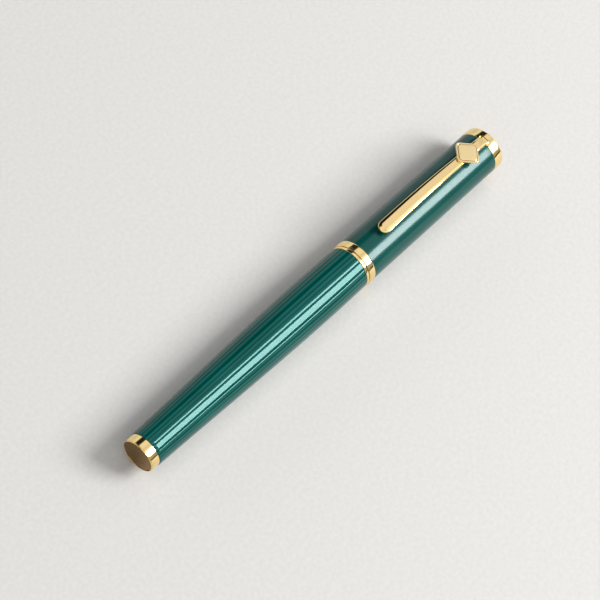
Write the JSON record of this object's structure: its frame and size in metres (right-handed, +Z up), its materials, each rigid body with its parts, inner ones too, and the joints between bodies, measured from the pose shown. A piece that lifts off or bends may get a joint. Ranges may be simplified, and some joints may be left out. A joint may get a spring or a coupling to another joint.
{
  "type": "fountain pen",
  "caption": "Capped fountain pen with a fluted barrel, a sprung clip with a plain lozenge, and a piston converter behind the grip.",
  "frame": {"origin": "under the middle of the pen as it lies on a surface on its widest ring, clip up", "axes": "+X along the pen towards the cap's top, +Z up through the clip"},
  "size_m": [0.1382, 0.0132, 0.0161],
  "materials": {
    "lacquer_green": "high gloss lacquer",
    "gold_plate": "polished gold plate",
    "brass_inner": "turned, satin",
    "nib_gold": "polished",
    "pellet_metal": "ground",
    "grip_resin": "polished black resin",
    "feed_plastic": "moulded black plastic",
    "inner_plastic": "moulded",
    "seal_rubber": "matt",
    "clear_plastic": "clear moulding",
    "plated_steel": "polished"
  },
  "bodies": {
    "barrel": {"barrel_body": "lacquer_green", "barrel_front_ring": "gold_plate", "barrel_thread_insert": "brass_inner", "barrel_end_plug": "brass_inner", "barrel_end_ring": "gold_plate", "barrel_end_disc": "gold_plate"},
    "section": {"section_thread_bush": "brass_inner", "section_seal_ring": "seal_rubber", "section_shoulder_ring": "gold_plate", "grip_section": "grip_resin", "section_front_ring": "gold_plate", "nib_housing": "inner_plastic", "feed_nipple": "inner_plastic", "nib": "nib_gold", "nib_pellet": "pellet_metal", "feed": "feed_plastic"},
    "cap": {"cap_body": "lacquer_green", "cap_lip_band": "gold_plate", "cap_clutch_ring": "plated_steel", "cap_inner_sleeve": "inner_plastic", "cap_plug": "brass_inner", "clip_washer": "plated_steel", "cap_top_ring": "gold_plate", "cap_finial": "gold_plate"},
    "clip": {"clip_arm": "gold_plate", "clip_lozenge": "gold_plate"},
    "converter": {"converter_reservoir": "clear_plastic", "converter_mouth_bush": "inner_plastic", "converter_ferrule": "gold_plate", "rod_guide": "inner_plastic"},
    "knob": {"converter_knob": "grip_resin"},
    "piston": {"piston_rod": "inner_plastic", "piston_seal": "seal_rubber"}
  },
  "joints": [
    {"name": "section_draw", "type": "slide", "parent": "barrel", "child": "section", "axis": [1, 0, 0], "range_m": [0, 0.065]},
    {"name": "cap_pull", "type": "slide", "parent": "section", "child": "cap", "axis": [1, 0, 0], "range_m": [0, 0.05]},
    {"name": "clip_lift", "type": "hinge", "parent": "cap", "child": "clip", "pos_m": [0.06645, 0, 0.01329], "axis": [0, 1, 0], "range_deg": [0, 4], "stiffness_Nm_per_rad": 4, "springref_deg": -1.15},
    {"name": "converter_pull", "type": "slide", "parent": "section", "child": "converter", "axis": [-1, 0, 0], "range_m": [0, 0.01]},
    {"name": "knob_turn", "type": "hinge", "parent": "converter", "child": "knob", "pos_m": [-0.04705, 0, 0.00665], "axis": [1, 0, 0], "range_deg": [0, 1440]},
    {"name": "piston_travel", "type": "slide", "parent": "converter", "child": "piston", "axis": [1, 0, 0], "range_m": [0, 0.0246]}
  ],
  "couplings": [
    {"joint": "knob_turn", "follows": "piston_travel", "rad_per_m": 1021.6}
  ]
}
